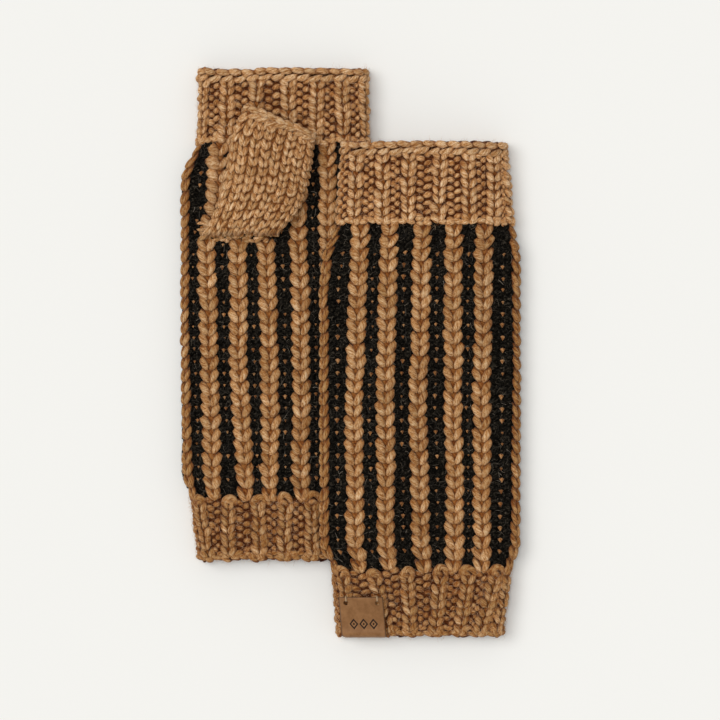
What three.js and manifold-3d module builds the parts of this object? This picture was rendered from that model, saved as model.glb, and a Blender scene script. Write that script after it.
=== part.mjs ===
// A pair of fingerless gloves in a two-colour ribbed knit, lying as a pair on a table.
// The left glove lies palm up on the table, with its thumb sleeve folded flat on the palm.
// The right glove lies back up, partly on the left one, with its thumb sleeve folded underneath.
// A leather tab is folded over the hem of the right glove's wrist cuff and tacked with thread.
//
// Frame: millimetres. +Y runs from the wrists to the fingers, +Z is up, and the origin is at the
// middle of the pair's footprint, on the table.
import * as THREE from "three";
import { ParametricGeometry } from "three/addons/geometries/ParametricGeometry.js";
import { mergeVertices } from "three/addons/utils/BufferGeometryUtils.js";
import Module from "manifold-3d";

// ---- Driving dimensions, in millimetres ----

const GAP = 0.3; // between two pieces that touch

// The hand's knit, and the hollow that a glove keeps when it lies flat.
const WALL = 4;
const HOLLOW = 5;
const THICKNESS = 2 * WALL + HOLLOW;

// The thumb sleeve's finer knit.
const THUMB_WALL = 2.2;
const THUMB_HOLLOW = 4.4;
const THUMB_THICKNESS = 2 * THUMB_WALL + THUMB_HOLLOW;

// How long the rounded cast-on and bind-off edges are.
const EDGE = 5;
const THUMB_EDGE = 3.5;

// Each glove's lengths are y values, and its edges are the x of the left and right fold there.
const LEFT_GLOVE = {
  hem: -103,
  wristTop: -71,
  fingerRoot: 105,
  fingerEdge: 142.75,
  hemSpan: [-77, 7.5],
  wristSpan: [-81.5, 12],
  handSpan: [-85.4, 15.4],
  rootSpan: [-78, 10.5],
  fingerSpan: [-76.5, 9.5],
};
const RIGHT_GLOVE = {
  hem: -140.75,
  wristTop: -107,
  fingerRoot: 64.5,
  fingerEdge: 106,
  hemSpan: [-7.5, 77.5],
  wristSpan: [-10.5, 81.5],
  handSpan: [-16.4, 85.4],
  rootSpan: [-8, 82.5],
  fingerSpan: [-5, 78.5],
};
const EASE_AT_WRIST = 12; // the length over which the hand swells out from the wrist cuff
const EASE_AT_FINGERS = 18; // and draws in again to the finger cuff

// What the right glove lies on: the left glove's edge, and its own thumb sleeve.
const LIFT_OVER_LEFT = THICKNESS + 0.4;
const LIFT_OVER_THUMB = THUMB_THICKNESS + 0.6;
const LEFT_EDGE_FALL = [9, 50]; // x where the lift over the left glove starts and stops falling
const LEFT_END_FALL = [104, 140]; // the same past its wrist end, as -y
const THUMB_EDGE_FALL = [57, 80]; // x where the lift over the thumb starts and stops falling
const THUMB_END_FALL = [-19, 21]; // the same below the thumb, as -y

// The thumb sleeves: where each one's base and tip rows start and end.
const LEFT_THUMB = {
  baseLeft: [-74, 58],
  baseRight: [-25, 58],
  tipLeft: [-54, 125.5],
  tipRight: [-16.5, 109],
  floor: THICKNESS + GAP,
};
const RIGHT_THUMB = {
  baseLeft: [17, 21],
  baseRight: [56, 21],
  tipLeft: [17.5, 81],
  tipRight: [54.5, 87],
  floor: 0.2,
};
// The hole in the palm that each sleeve opens into.
const THUMB_HOLE = { length: 30, width: 7, fromBase: 6.5 };
const CUT_PAST = 1; // how far the plug that cuts it runs past the wall

// The leather tab and its two thread tacks.
const TAB = { left: -4.5, right: 17, reach: 20, inside: 12, thick: 1.5, clear: 0.5, holeRadius: 1 };
const TAB_HOLE_INSET = 3;
// A tack rises from foot above the knit, leans, rounds its shoulders and is highest at its crown.
const TACK = { radius: 0.45, foot: 0.5, lean: 0.15, shoulder: 0.25, crown: 0.2 };

// How finely the round shapes are divided.
const FLAT_STEPS = 9;
const FOLD_STEPS = 4;
const HAND_STEPS = 13;
const CUFF_STEPS = 4;
const THUMB_STEPS = 5;
const TAB_STEPS = 5;

const COLOURS = { tan: 0xb08355, black: 0x1b1a1a, leather: 0x8f6a45, thread: 0xd8b88c };

// ---- The shape of a glove that lies flat ----

const lerp = THREE.MathUtils.lerp;

// 1 below start, 0 above end, and smooth between.
function fall(value, [start, end]) {
  return 1 - THREE.MathUtils.smoothstep(value, start, end);
}

// How high the right glove's underside lies: over the left glove, over its own thumb, or on the table.
function draped(x, y) {
  const overLeft = LIFT_OVER_LEFT * fall(x, LEFT_EDGE_FALL) * fall(-y, LEFT_END_FALL);
  const overThumb = LIFT_OVER_THUMB * fall(x, THUMB_EDGE_FALL) * fall(-y, THUMB_END_FALL);
  return overLeft + overThumb * (1 - overLeft / LIFT_OVER_LEFT);
}

const flat = () => 0;

// The x of the left fold (side 0) or the right fold (side 1) at y.
function fold(glove, y, side) {
  const { hem, wristTop, fingerRoot, fingerEdge } = glove;
  if (y < wristTop) {
    return lerp(glove.hemSpan[side], glove.wristSpan[side], (y - hem) / (wristTop - hem));
  }
  if (y > fingerRoot) {
    const along = (y - fingerRoot) / (fingerEdge - fingerRoot);
    return lerp(glove.rootSpan[side], glove.fingerSpan[side], along);
  }
  const hand = glove.handSpan[side];
  const atWrist = (glove.wristSpan[side] - hand) * fall(y - wristTop, [0, EASE_AT_WRIST]);
  const atFingers = (glove.rootSpan[side] - hand) * fall(fingerRoot - y, [0, EASE_AT_FINGERS]);
  return hand + atWrist + atFingers;
}

// The stops round a flattened tube: how far across it the point is, and which way it faces.
function flattenedStops() {
  const stops = [];
  const quarter = Math.PI / 2;
  for (let i = 0; i < FLAT_STEPS; i++) stops.push([i / FLAT_STEPS, -quarter]);
  for (let i = 0; i < FOLD_STEPS; i++) stops.push([1, -quarter + (i / FOLD_STEPS) * Math.PI]);
  for (let i = 0; i < FLAT_STEPS; i++) stops.push([1 - i / FLAT_STEPS, quarter]);
  for (let i = 0; i < FOLD_STEPS; i++) stops.push([0, quarter + (i / FOLD_STEPS) * Math.PI]);
  return stops;
}
const STOPS = flattenedStops();

// Sweeps a closed loop of wall points round the flattened tube, which makes one closed body.
// place(stop, wallPoint) gives the point in space.
function sweepWall(loop, place) {
  const surface = (u, v, target) => {
    const stop = STOPS[Math.round(u * STOPS.length) % STOPS.length];
    const wallPoint = loop[loop.length - 1 - (Math.round(v * loop.length) % loop.length)];
    target.copy(place(stop, wallPoint));
  };
  const geometry = new ParametricGeometry(surface, STOPS.length, loop.length);
  geometry.deleteAttribute("normal");
  geometry.deleteAttribute("uv");
  return mergeVertices(geometry, 1e-3);
}

// The wall between two stations, as [station, depth] points: out along the skin, back along the lining.
function squareWall(from, to, steps, wall) {
  const skin = [];
  const lining = [];
  for (let i = 0; i <= steps; i++) {
    skin.push([lerp(from, to, i / steps), 0]);
    lining.push([lerp(to, from, i / steps), wall]);
  }
  return [...skin, ...lining];
}

// The same with a round nose at the far station. scale is the length of one unit of station.
function roundedWall(from, to, wall, scale = 1) {
  const turns = 4;
  const nose = (wall / 2 / scale) * Math.sign(to - from);
  const loop = [[from, 0]];
  for (let i = 0; i <= turns; i++) {
    const angle = Math.PI / 2 - (i / turns) * Math.PI;
    loop.push([to - nose + nose * Math.cos(angle), (wall / 2) * (1 - Math.sin(angle))]);
  }
  loop.push([from, wall]);
  return loop;
}

// A point of a glove: stop round the tube, station y, and depth below the skin.
function glovePoint(glove, underside, [across, facing], [y, depth]) {
  const radius = THICKNESS / 2;
  const start = fold(glove, y, 0) + radius;
  const end = fold(glove, y, 1) - radius;
  const x = lerp(start, end, across) + (radius - depth) * Math.cos(facing);
  const z = underside(x, y) + radius + (radius - depth) * Math.sin(facing);
  return new THREE.Vector3(x, y, z);
}

// A point of a thumb sleeve: the station runs from 0 at the base to 1 at the tip.
function thumbPoint(thumb, [across, facing], [station, depth]) {
  const radius = THUMB_THICKNESS / 2;
  const at = (from, to) => new THREE.Vector3(lerp(from[0], to[0], station), lerp(from[1], to[1], station), 0);
  const left = at(thumb.baseLeft, thumb.tipLeft);
  const right = at(thumb.baseRight, thumb.tipRight);
  const row = right.clone().sub(left).normalize();
  const start = left.addScaledVector(row, radius);
  const end = right.addScaledVector(row, -radius);
  const point = start.lerp(end, across).addScaledVector(row, (radius - depth) * Math.cos(facing));
  point.z = thumb.floor + radius + (radius - depth) * Math.sin(facing);
  return point;
}

// ---- Cutting ----

const wasm = await Module();
wasm.setup();

function toSolid(geometry) {
  const bare = new THREE.BufferGeometry();
  bare.setAttribute("position", geometry.getAttribute("position"));
  bare.setIndex(geometry.index);
  const merged = mergeVertices(bare, 1e-3);
  const vertProperties = merged.attributes.position.array;
  const triVerts = new Uint32Array(merged.index.array);
  return new wasm.Manifold(new wasm.Mesh({ numProp: 3, vertProperties, triVerts }));
}

function toGeometry(solid) {
  const { vertProperties, triVerts } = solid.getMesh();
  const geometry = new THREE.BufferGeometry();
  geometry.setAttribute("position", new THREE.BufferAttribute(vertProperties, 3));
  geometry.setIndex(new THREE.BufferAttribute(triVerts, 1));
  return geometry;
}

function cut(geometry, ...tools) {
  return toGeometry(tools.reduce((solid, tool) => solid.subtract(toSolid(tool)), toSolid(geometry)));
}

// An upright plug the shape of the thumb hole, between two heights.
function thumbHolePlug(thumb, low, high) {
  const radius = THUMB_HOLE.width / 2;
  const reach = THUMB_HOLE.length / 2 - radius;
  const shape = new THREE.Shape();
  shape.absarc(reach, 0, radius, -Math.PI / 2, Math.PI / 2);
  shape.absarc(-reach, 0, radius, Math.PI / 2, Math.PI * 1.5);
  const plug = new THREE.ExtrudeGeometry(shape, {
    depth: high - low,
    bevelEnabled: false,
    curveSegments: 5,
  });
  const middle = (thumb.baseLeft[0] + thumb.baseRight[0]) / 2;
  return plug.translate(middle, thumb.baseLeft[1] + THUMB_HOLE.fromBase, low);
}

// ---- The pieces ----

const material = (colour, roughness) =>
  new THREE.MeshStandardMaterial({ color: COLOURS[colour], roughness, metalness: 0 });

const MATERIALS = {
  tan: material("tan", 0.85),
  black: material("black", 0.95),
  leather: material("leather", 0.55),
  thread: material("thread", 0.8),
};

const pair = new THREE.Group();

function addPiece(parent, name, geometry, finish) {
  const mesh = new THREE.Mesh(geometry, MATERIALS[finish]);
  mesh.name = name;
  parent.add(mesh);
}

// The knitted tube of one glove: its edges, cuffs and striped hand, each ending a gap before the next.
function addGlove(side, glove, thumb, underside) {
  const group = new THREE.Group();
  const place = (stop, wallPoint) => glovePoint(glove, underside, stop, wallPoint);
  const tube = (from, to, steps) => sweepWall(squareWall(from, to - GAP, steps, WALL), place);
  const { hem, wristTop, fingerRoot, fingerEdge } = glove;

  const castOn = sweepWall(roundedWall(hem + EDGE - GAP, hem, WALL).reverse(), place);
  const bindOff = sweepWall(roundedWall(fingerEdge - EDGE, fingerEdge, WALL), place);
  addPiece(group, `${side}_wrist_cast_on_edge`, castOn, "tan");
  addPiece(group, `${side}_wrist_cuff`, tube(hem + EDGE, wristTop, CUFF_STEPS), "tan");
  addPiece(group, `${side}_finger_cuff`, tube(fingerRoot, fingerEdge - EDGE, CUFF_STEPS), "tan");
  addPiece(group, `${side}_finger_bind_off_edge`, bindOff, "tan");

  const palmUp = thumb.floor > THICKNESS;
  const low = palmUp ? THICKNESS - WALL - CUT_PAST : THUMB_THICKNESS;
  const high = palmUp ? THICKNESS + CUT_PAST : LIFT_OVER_LEFT + WALL + CUT_PAST / 2;
  const hand = cut(tube(wristTop, fingerRoot, HAND_STEPS), thumbHolePlug(thumb, low, high));
  addPiece(group, `${side}_hand`, hand, "black");
  return group;
}

// A thumb sleeve: a tapered stockinette tube whose base opens into the palm, with a bound-off tip.
function addThumb(side, thumb) {
  const group = new THREE.Group();
  const place = (stop, wallPoint) => thumbPoint(thumb, stop, wallPoint);
  const length = thumb.tipRight[1] - thumb.baseRight[1];
  const split = 1 - THUMB_EDGE / length;
  const sleeve = sweepWall(squareWall(0, split - GAP / length, THUMB_STEPS, THUMB_WALL), place);
  const edge = sweepWall(roundedWall(split, 1, THUMB_WALL, length), place);

  const palmUp = thumb.floor > THICKNESS;
  const middle = thumb.floor + THUMB_THICKNESS / 2;
  const low = palmUp ? thumb.floor - CUT_PAST : middle;
  const high = palmUp ? middle : thumb.floor + THUMB_THICKNESS + CUT_PAST;
  addPiece(group, `${side}_thumb_sleeve`, cut(sleeve, thumbHolePlug(thumb, low, high)), "tan");
  addPiece(group, `${side}_thumb_bind_off_edge`, edge, "tan");
  return group;
}

// Bends a geometry made on a flat table, where z is the height above the knit, round the right
// glove's upper skin. Left of the last flat point the skin curves down into the fold.
function layOnRightGlove(geometry) {
  const radius = THICKNESS / 2;
  const position = geometry.getAttribute("position");
  for (let i = 0; i < position.count; i++) {
    const [x, y, height] = [position.getX(i), position.getY(i), position.getZ(i)];
    const start = fold(RIGHT_GLOVE, y, 0) + radius;
    const facing = Math.acos(Math.min(0, (x - start) / radius));
    const bentX = Math.max(x, start) + (radius + height) * Math.cos(facing);
    const bentZ = draped(bentX, y) + radius + (radius + height) * Math.sin(facing);
    position.setXYZ(i, bentX, y, bentZ);
  }
  return geometry;
}

// The tab's side view, drawn in y and z, with z = 0 at the skin of the cuff's upper wall:
// up from the front end, round the hem, and back inside the cuff.
function tabOutline() {
  const hem = RIGHT_GLOVE.hem;
  const rings = [
    { offset: TAB.clear + TAB.thick, forward: true },
    { offset: TAB.clear, forward: false },
  ];
  const points = [];
  for (const { offset, forward } of rings) {
    const ring = [];
    const radius = WALL / 2 + offset;
    for (let i = 0; i <= TAB_STEPS; i++) {
      ring.push([lerp(hem + TAB.reach, hem + WALL / 2, i / TAB_STEPS), offset]);
    }
    for (let i = 1; i < 2 * TAB_STEPS; i++) {
      const angle = Math.PI / 2 + (i / (2 * TAB_STEPS)) * Math.PI;
      ring.push([hem + WALL / 2 + radius * Math.cos(angle), -WALL / 2 + radius * Math.sin(angle)]);
    }
    for (let i = 0; i <= TAB_STEPS; i++) {
      ring.push([lerp(hem + WALL / 2, hem + TAB.inside, i / TAB_STEPS), -WALL - offset]);
    }
    points.push(...(forward ? ring : ring.reverse()));
  }
  return points.map(([y, z]) => new THREE.Vector2(y, z));
}

// The x and y of the two holes that the tacks go through.
const TAB_HOLES = [TAB.left + TAB_HOLE_INSET, TAB.right - TAB_HOLE_INSET].map((x) => [
  x,
  RIGHT_GLOVE.hem + TAB.reach - TAB_HOLE_INSET,
]);

function tabGeometry() {
  const strip = new THREE.ExtrudeGeometry(new THREE.Shape(tabOutline()), {
    depth: TAB.right - TAB.left,
    steps: TAB_STEPS,
    bevelEnabled: false,
  });
  // The outline's x and y become the part's y and z, and the extrusion runs along the part's x.
  strip.applyMatrix4(new THREE.Matrix4().set(0, 0, 1, TAB.left, 1, 0, 0, 0, 0, 1, 0, 0, 0, 0, 0, 1));
  const punches = TAB_HOLES.map(([x, y]) =>
    new THREE.CylinderGeometry(TAB.holeRadius, TAB.holeRadius, 2 * TAB.thick, 12)
      .rotateX(Math.PI / 2)
      .translate(x, y, TAB.clear + TAB.thick / 2),
  );
  return layOnRightGlove(cut(strip, ...punches));
}

// A tack: a thread up out of the hole, over the tab's end and down to the knit.
function tackGeometry([x, y]) {
  const over = TAB.clear + TAB.thick + TACK.radius + TACK.shoulder;
  const end = RIGHT_GLOVE.hem + TAB.reach + TACK.radius + GAP;
  const route = new THREE.CatmullRomCurve3([
    new THREE.Vector3(x, y, TACK.foot),
    new THREE.Vector3(x, y + TACK.lean, over - TACK.shoulder),
    new THREE.Vector3(x, (y + end) / 2, over + TACK.crown),
    new THREE.Vector3(x, end + TACK.lean, over - 2 * TACK.shoulder),
    new THREE.Vector3(x, end + 2 * TACK.lean, TACK.foot),
  ]);
  const section = new THREE.Shape().absarc(0, 0, TACK.radius, 0, 2 * Math.PI);
  const thread = new THREE.ExtrudeGeometry(section, { steps: 12, curveSegments: 8, extrudePath: route });
  return layOnRightGlove(mergeVertices(thread));
}

pair.add(addGlove("left", LEFT_GLOVE, LEFT_THUMB, flat));
pair.add(addThumb("left", LEFT_THUMB));

const right = addGlove("right", RIGHT_GLOVE, RIGHT_THUMB, draped);
addPiece(right, "right_hem_tab", tabGeometry(), "leather");
addPiece(right, "right_tab_tack_thumb_side", tackGeometry(TAB_HOLES[0]), "thread");
addPiece(right, "right_tab_tack_little_finger_side", tackGeometry(TAB_HOLES[1]), "thread");
pair.add(right);
pair.add(addThumb("right", RIGHT_THUMB));

export default pair;
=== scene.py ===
"""Looks of a pair of knitted fingerless gloves: every stitch is a swept length of yarn, laid on the flattened
tubes that the CAD model describes. Lengths here are in millimetres until mesh_piece() turns them into metres."""

import math

import bmesh
import bpy
import numpy as np
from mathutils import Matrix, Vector


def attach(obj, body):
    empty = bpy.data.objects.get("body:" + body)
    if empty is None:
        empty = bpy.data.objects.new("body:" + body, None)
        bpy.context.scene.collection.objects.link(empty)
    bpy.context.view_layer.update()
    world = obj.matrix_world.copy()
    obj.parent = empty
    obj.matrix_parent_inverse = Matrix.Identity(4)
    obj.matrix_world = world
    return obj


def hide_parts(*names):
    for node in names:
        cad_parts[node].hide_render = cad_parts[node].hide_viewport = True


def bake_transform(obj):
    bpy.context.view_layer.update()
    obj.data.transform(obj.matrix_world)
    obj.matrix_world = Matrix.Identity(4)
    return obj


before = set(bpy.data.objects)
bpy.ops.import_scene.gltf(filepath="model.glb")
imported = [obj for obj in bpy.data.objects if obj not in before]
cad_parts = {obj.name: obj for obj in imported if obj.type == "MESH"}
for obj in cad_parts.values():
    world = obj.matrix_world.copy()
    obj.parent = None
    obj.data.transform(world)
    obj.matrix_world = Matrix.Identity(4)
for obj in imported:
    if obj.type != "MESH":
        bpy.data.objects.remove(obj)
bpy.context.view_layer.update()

MM = 0.001
rng = np.random.default_rng(12)

# ---- The camera, lights and floor ----

VIEW_CENTRE = (4.75 * MM, -3.0 * MM)
VIEW_WIDTH = 360 * MM
CAMERA_HEIGHT = 3.2


def new_object(name, data):
    thing = bpy.data.objects.new(name, data)
    bpy.context.scene.collection.objects.link(thing)
    return thing


def add_camera():
    data = bpy.data.cameras.new("camera")
    data.sensor_width = 36
    data.lens = 36 * CAMERA_HEIGHT / VIEW_WIDTH
    data.clip_end = 20
    camera = new_object("camera", data)
    camera.location = (*VIEW_CENTRE, CAMERA_HEIGHT)
    bpy.context.scene.camera = camera


def add_sun(name, source, degrees, strength):
    """A soft distant light that comes from the direction of source."""
    data = bpy.data.lights.new(name, "SUN")
    data.energy = strength
    data.angle = math.radians(degrees)
    new_object(name, data).rotation_euler = (-Vector(source)).to_track_quat("-Z", "Y").to_euler()


def add_studio():
    world = bpy.data.worlds.new("studio")
    world.use_nodes = True
    background = world.node_tree.nodes["Background"]
    background.inputs["Color"].default_value = (1.0, 0.995, 0.98, 1)
    background.inputs["Strength"].default_value = 0.42
    bpy.context.scene.world = world
    bpy.context.scene.view_settings.view_transform = "Standard"
    add_sun("key", (-0.62, 0.22, 1.0), 36, 1.15)
    add_sun("top", (-0.05, 0.05, 1.0), 22, 0.90)

    size = 3.0
    mesh = bpy.data.meshes.new("floor")
    corners = [(-size, -size, 0), (size, -size, 0), (size, size, 0), (-size, size, 0)]
    mesh.from_pydata(corners, [], [(0, 1, 2, 3)])
    floor = new_object("floor", mesh)
    paint = bpy.data.materials.new("floor")
    paint.use_nodes = True
    shader = paint.node_tree.nodes["Principled BSDF"]
    shader.inputs["Base Color"].default_value = (0.90, 0.895, 0.865, 1)
    shader.inputs["Roughness"].default_value = 0.9
    shader.inputs["Specular IOR Level"].default_value = 0.1
    mesh.materials.append(paint)


add_camera()
add_studio()

# ---- The gloves' shape, as the CAD model has it ----

RADIUS = 6.5
THUMB_RADIUS = 4.4
LIFT_OVER_LEFT = 13.4
LIFT_OVER_THUMB = 9.4

# Each glove's hem, wrist, finger root and edge in Y, and the spans in X that it covers at those places.
GLOVES = {
    "left": {
        "hem": -103.0,
        "wrist": -71.0,
        "root": 105.0,
        "edge": 142.75,
        "spans": dict(hem=(-77, 7.5), wrist=(-81.5, 12), hand=(-85.4, 15.4), root=(-78, 10.5), edge=(-76.5, 9.5)),
        "body": "root",
    },
    "right": {
        "hem": -140.75,
        "wrist": -107.0,
        "root": 64.5,
        "edge": 106.0,
        "spans": dict(hem=(-7.5, 77.5), wrist=(-10.5, 81.5), hand=(-16.4, 85.4), root=(-8, 82.5), edge=(-5, 78.5)),
        "body": "right_glove",
    },
}
# Each sleeve's base and tip run from one corner to the other, and floor is the height that it lies at.
THUMBS = {
    "left": {"base": ((-74, 58), (-25, 58)), "tip": ((-54, 125.5), (-16.5, 109)), "floor": 13.3, "palm_up": True},
    "right": {"base": ((17, 21), (56, 21)), "tip": ((17.5, 81), (54.5, 87)), "floor": 0.2, "palm_up": False},
}


def fall(value, start, end):
    """1 up to start and 0 from end on, with a soft slope between them."""
    t = np.clip((value - start) / (end - start), 0, 1)
    return 1 - t * t * (3 - 2 * t)


def draped(x, y):
    """How high the right glove's underside lies, over the left glove, over its own thumb or on the table."""
    over_left = LIFT_OVER_LEFT * fall(x, 9, 50) * fall(-y, 104, 140)
    over_thumb = LIFT_OVER_THUMB * fall(x, 57, 80) * fall(-y, -19, 21)
    return over_left + over_thumb * (1 - over_left / LIFT_OVER_LEFT)


PRESSED_FROM = -0.7
PRESSED_DEPTH = 0.62


def pressed(h):
    """The yarn underneath is pressed flat, so none of it stands out past the skin."""
    over = np.maximum(h, PRESSED_FROM) - PRESSED_FROM
    return np.where(h < PRESSED_FROM, h, PRESSED_FROM + PRESSED_DEPTH * (1 - np.exp(-over / PRESSED_DEPTH)))


class Tube:
    """A flattened tube. s runs round it in millimetres from the left end of its flat upper face, v along it, and
    h is the height above the CAD skin."""

    def place(self, s, v, h):
        ax, ay, ex, ey, length = self.row(v)
        r = self.radius
        half = math.pi * r
        around = 2 * length + 2 * half
        s = np.mod(s + half / 2, around) - half / 2
        on_right = (s > length) & (s < length + half)
        on_back = (s >= length + half) & (s <= 2 * length + half)
        on_left = (s > 2 * length + half) | (s < 0)
        turn = np.where(on_right, (s - length) / r, 0)
        turn = np.where(on_back, math.pi, turn)
        turn = np.where(on_left & (s > 0), math.pi + (s - 2 * length - half) / r, turn)
        turn = np.where(on_left & (s < 0), s / r, turn)
        across = np.clip(s, 0, length)
        across = np.where(on_back, 2 * length + half - s, across)
        across = np.where(on_right, length, across)
        across = np.where(on_left, 0, across)
        out = across + (r + h) * np.sin(turn)
        below = np.clip(-np.cos(turn), 0, 1) ** 2
        h = h + below * (pressed(h) - h)
        x = ax + ex * out
        y = ay + ey * out
        z = self.height(x, y, v, r + (r + h) * np.cos(turn))
        return np.stack([x, y, z], -1)

    def around(self, v):
        return 2 * self.row(v)[4] + 2 * math.pi * self.radius

    def s_at(self, x, v):
        """The s of a point on the upper side whose distance along the row's direction is x."""
        ax, _, _, _, length = self.row(v)
        s = x - ax
        r = self.radius
        low = -r * np.arcsin(np.clip(-s / r, 0, 1))
        high = length + r * np.arcsin(np.clip((s - length) / r, 0, 1))
        return np.where(s < 0, low, np.where(s > length, high, s))


class GloveTube(Tube):
    radius = RADIUS

    def __init__(self, side):
        self.glove = GLOVES[side]
        self.side = side

    def fold(self, y, end):
        g = self.glove
        spans = {name: span[end] for name, span in g["spans"].items()}
        low = spans["hem"] + (spans["wrist"] - spans["hem"]) * (y - g["hem"]) / (g["wrist"] - g["hem"])
        high = spans["root"] + (spans["edge"] - spans["root"]) * (y - g["root"]) / (g["edge"] - g["root"])
        hand = spans["hand"]
        middle = hand + (spans["wrist"] - hand) * fall(y - g["wrist"], 0, 12)
        middle = middle + (spans["root"] - hand) * fall(g["root"] - y, 0, 18)
        return np.where(y < g["wrist"], low, np.where(y > g["root"], high, middle))

    def row(self, v):
        v = np.asarray(v, float)
        start = self.fold(v, 0) + RADIUS
        end = self.fold(v, 1) - RADIUS
        return start, v, 1.0, 0.0, end - start

    def height(self, x, y, v, z):
        return z + (draped(x, y) if self.side == "right" else 0)


class ThumbTube(Tube):
    radius = THUMB_RADIUS

    def __init__(self, side):
        thumb = THUMBS[side]
        self.base = np.array(thumb["base"], float)
        self.tip = np.array(thumb["tip"], float)
        self.floor = thumb["floor"]
        self.palm_up = thumb["palm_up"]
        self.base[:, 1] += 2.0
        self.length = float(np.mean(self.tip[:, 1] - self.base[:, 1]))

    def row(self, v):
        v = np.asarray(v, float)
        t = v[..., None] / self.length
        left = self.base[0] + (self.tip[0] - self.base[0]) * t
        right = self.base[1] + (self.tip[1] - self.base[1]) * t
        span = right - left
        width = np.linalg.norm(span, axis=-1)
        direction = span / width[..., None]
        near_base = np.clip(1 - v / 26, 0, 1) ** 2
        near_tip = np.clip(v / self.length * 4 - 3, 0, 1) ** 2
        beside = 3.0 * np.sin(math.pi * np.clip((v + 4) / 44, 0, 1))
        start = left + direction * (THUMB_RADIUS + beside + 3.2 * near_tip)[..., None]
        width = width - beside - 10.5 * near_base - 5.0 * near_tip
        return start[..., 0], start[..., 1], direction[..., 0], direction[..., 1], width - 2 * THUMB_RADIUS

    def height(self, x, y, v, z):
        """The sleeve narrows to nothing at its base, on the side that it grows from."""
        open_part = np.clip((v + 1.2) / 6.2, 0, 1)
        thickness = np.sqrt(1 - (1 - open_part) ** 2)
        if self.palm_up:
            ax, ay, ex, ey, length = self.row(v)
            across = np.clip(((x - ax) * ex + (y - ay) * ey) / length, 0, 1)
            crown = 0.32 * np.sin(math.pi * across) * np.sin(math.pi * np.clip(v / self.length, 0, 1) * 0.86) ** 0.7
            return self.floor + z * thickness * (1 + np.where(z > self.radius, crown, 0))
        return self.floor + 2 * THUMB_RADIUS - (2 * THUMB_RADIUS - z) * thickness


TUBES = {side: GloveTube(side) for side in GLOVES}
SLEEVES = {side: ThumbTube(side) for side in THUMBS}

# Where the knit's columns lie, as x on the upper side at a few y. The rest are spread evenly round the back.
COLUMNS = 13
TAN_COLUMNS = {
    "left": [
        (105, (-77.3, -65.4, -56.5, -42.5, -26.5, -11.5, 4.0)),
        (88, (-84.0, -65.6, -56.2, -42.0, -26.0, -11.2, 4.5)),
        (70, (-84.2, -66.4, -56.2, -42.0, -26.0, -11.2, 4.5)),
        (57, (-84.2, -71.2, -56.2, -42.0, -26.0, -11.2, 4.5)),
        (2, (-84.2, -70.8, -55.8, -40.5, -24.5, -9.8, 5.5)),
        (-62, (-82.5, -68.8, -52.4, -40.1, -24.5, -8.8, 5.5)),
        (-71, (-80.0, -68.0, -52.2, -40.0, -24.5, -8.8, 5.0)),
    ],
    "right": [
        (64.5, (-7.6, 5.2, 19.2, 35.6, 51.2, 66.8, 82.2)),
        (50, (-12.4, 4.6, 18.6, 35.2, 51.2, 66.8, 84.4)),
        (30, (-14.8, 3.6, 18.3, 34.8, 51.2, 66.2, 84.6)),
        (-21, (-14.8, 1.8, 17.4, 33.6, 51.2, 65.0, 84.6)),
        (-95, (-14.2, 2.6, 17.2, 35.2, 52.2, 65.8, 84.0)),
        (-107, (-9.0, 4.5, 19.0, 36.2, 51.2, 65.5, 80.2)),
    ],
}
CUFF_COLUMNS = {
    ("left", "finger"): [
        (142.75, (-74.2, -61.6, -46.2, -30.2, -16.4, -4.2, 7.6)),
        (105, (-74.6, -62.0, -47.6, -31.4, -16.8, -3.4, 8.6)),
    ],
    ("right", "finger"): [
        (106, (2.4, 16.2, 29.6, 44.8, 58.2, 71.2, 78.4)),
        (64.5, (1.6, 16.0, 28.2, 44.3, 59.6, 71.4, 81.0)),
    ],
    ("left", "wrist"): [
        (-71, (-76.5, -60.2, -46.3, -32.5, -18.0, -3.0, 10.0)),
        (-103, (-70.5, -60.0, -46.2, -32.8, -19.5, -4.0, 6.5)),
    ],
    ("right", "wrist"): [
        (-107, (-4.2, 11.2, 27.8, 44.0, 59.8, 74.2, 80.8)),
        (-140.75, (1.0, 18.8, 29.6, 42.6, 54.4, 64.4, 73.2)),
    ],
}
STATION_STEP = 1.5


class Columns:
    """Where the columns of one stretch of knit run: at(k, v) is the s of column k at v. A half k is a gap."""

    def __init__(self, tube, stations, wobble):
        heights = np.array([station[0] for station in stations][::-1], float)
        known = np.array([station[1] for station in stations][::-1], float)
        self.v = np.linspace(heights[0], heights[-1], int((heights[-1] - heights[0]) / STATION_STEP) + 2)
        table = []
        for y in self.v:
            x = np.array([np.interp(y, heights, column) for column in known.T])
            s = tube.s_at(x, np.full(len(x), y))
            around = float(tube.around(y))
            hidden = np.linspace(s[-1], s[0] + around, COLUMNS - len(x) + 2)[1:-1]
            table.append(np.concatenate([s, hidden, [s[0] + around]]))
        self.table = np.array(table)
        self.wobble = wobble
        self.phases = rng.uniform(0, 2 * math.pi, (COLUMNS, 3))

    def whole(self, k, v):
        """The s of whole columns, with the small waves that hand knitting has."""
        out = np.zeros(np.broadcast(k, v).shape)
        k = np.broadcast_to(k, out.shape)
        v = np.broadcast_to(v, out.shape)
        for column in range(COLUMNS + 1):
            here = k == column
            if not here.any():
                continue
            phase = self.phases[column % COLUMNS]
            wave = np.sin(v[here] / 9.0 + phase[0]) * 0.5 + np.sin(v[here] / 4.3 + phase[1]) * 0.15
            wave += np.sin(v[here] / 22.0 + phase[2]) * 0.7
            out[here] = np.interp(v[here], self.v, self.table[:, column]) + self.wobble * wave
        return out

    def at(self, k, v):
        low = np.floor(k)
        share = k - low
        low = low.astype(int)
        below = self.whole(np.mod(low, COLUMNS), v)
        above = self.whole(np.mod(low, COLUMNS) + 1, v)
        return below * (1 - share) + above * share


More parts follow.
